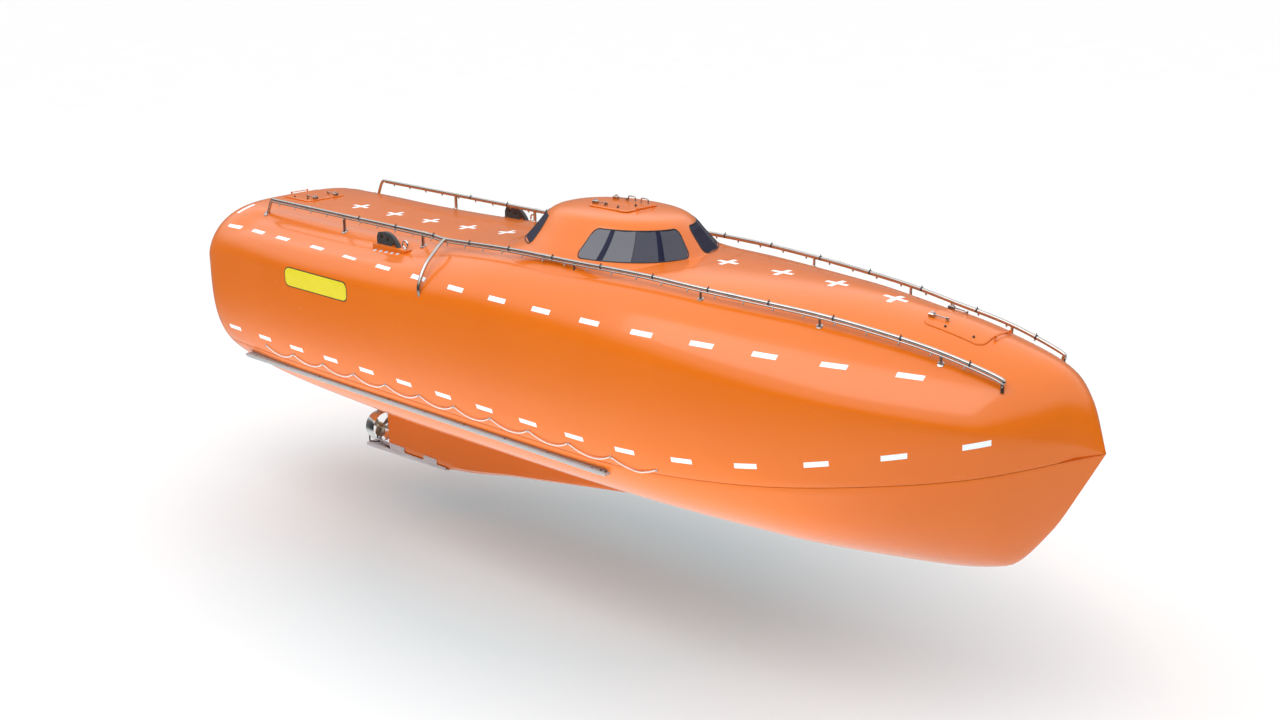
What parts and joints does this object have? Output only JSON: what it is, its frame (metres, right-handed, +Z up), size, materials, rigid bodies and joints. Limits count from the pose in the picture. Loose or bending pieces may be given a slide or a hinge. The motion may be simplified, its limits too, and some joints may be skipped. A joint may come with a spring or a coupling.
{
  "type": "enclosed free-fall lifeboat",
  "caption": "Fully enclosed free-fall lifeboat with a windowed cupola, deck hatches, stern door, full-length handrails, skeg, ducted propeller that steers, and launch rails.",
  "frame": {"origin": "on the centreline at the design waterline, about amidships", "axes": "+X towards the bow, +Y to port, +Z up"},
  "size_m": [14.2, 3.6198, 4.6286],
  "materials": {
    "orange": "glossy gelcoat on glass fibre",
    "glass": "tinted window",
    "steel": "satin stainless steel",
    "bright": "polished stainless steel",
    "bronze": "propeller bronze",
    "rail": "dull grey steel",
    "dark": "dark grey paint",
    "grey": "grey painted glass fibre",
    "seat": "dark blue seat cover",
    "line": "white rope"
  },
  "bodies": {
    "hull": {"hull_stern": "orange", "hull_aft": "orange", "hull_after_middle": "orange", "hull_fore_middle": "orange", "hull_fore": "orange", "hull_bow": "orange", "canopy_stern": "orange", "canopy_aft": "orange", "canopy_after_middle": "orange", "canopy_middle": "orange", "canopy_fore": "orange", "canopy_bow": "orange", "cupola": "orange", "skeg": "orange", "stock_bearing": "orange", "window_fore_starboard": "glass", "window_fore_port": "glass", "window_aft_starboard": "glass", "window_aft_port": "glass", "handrail_aft_starboard": "steel", "handrail_aft_port": "steel", "handrail_fore_starboard": "steel", "handrail_fore_port": "steel", "skeg_shoe": "steel", "fore_hatch_hinge": "steel", "aft_hatch_hinge": "steel", "top_hatch_hinge": "steel", "stern_door_hinge": "steel", "lifting_eye_starboard": "bright", "lifting_eye_port": "bright", "launch_rail_starboard": "rail", "launch_rail_port": "rail", "lifting_lug_starboard": "dark", "lifting_lug_port": "dark", "release_hook": "dark", "outlet_pipe": "dark", "engine_block": "dark", "cabin_sole": "grey", "engine_bed": "grey", "helm_platform": "grey", "helm_console": "grey", "helm_seat": "seat", "grab_line_starboard": "line", "grab_line_port": "line"},
    "propeller": {"propeller": "bronze"},
    "nozzle": {"steering_nozzle": "bright"},
    "top_hatch": {"top_hatch": "orange", "top_hatch_latch_starboard": "steel", "top_hatch_latch_port": "steel", "top_hatch_grab_aft": "steel", "top_hatch_grab_fore": "steel"},
    "fore_hatch": {"fore_hatch": "orange", "fore_hatch_latch_starboard": "steel", "fore_hatch_latch_port": "steel"},
    "aft_hatch": {"aft_hatch": "orange", "aft_hatch_latch_starboard": "steel", "aft_hatch_latch_port": "steel"},
    "stern_door": {"stern_door": "orange", "stern_door_latch": "steel"}
  },
  "joints": [
    {"name": "propeller_spin", "type": "hinge", "parent": "hull", "child": "propeller", "pos_m": [-4.9, 0, -1.26], "axis": [1, 0, 0], "continuous": true},
    {"name": "nozzle_steer", "type": "hinge", "parent": "hull", "child": "nozzle", "pos_m": [-4.9, 0, -1.26], "axis": [0, 0, 1], "range_deg": [-35, 35]},
    {"name": "top_hatch_hinge", "type": "hinge", "parent": "hull", "child": "top_hatch", "pos_m": [0.645, 0, 2.925], "axis": [0, 1, 0], "range_deg": [0, 100]},
    {"name": "fore_hatch_hinge", "type": "hinge", "parent": "hull", "child": "fore_hatch", "pos_m": [5.755, 0, 2.26522], "axis": [0, 1, 0], "range_deg": [0, 100]},
    {"name": "aft_hatch_hinge", "type": "hinge", "parent": "hull", "child": "aft_hatch", "pos_m": [-6.655, 0, 2.18759], "axis": [0, -1, 0], "range_deg": [0, 100]},
    {"name": "stern_door_hinge", "type": "hinge", "parent": "hull", "child": "stern_door", "pos_m": [-7.03, -0.405, 1.085], "axis": [0, 0, 1], "range_deg": [0, 105]}
  ]
}
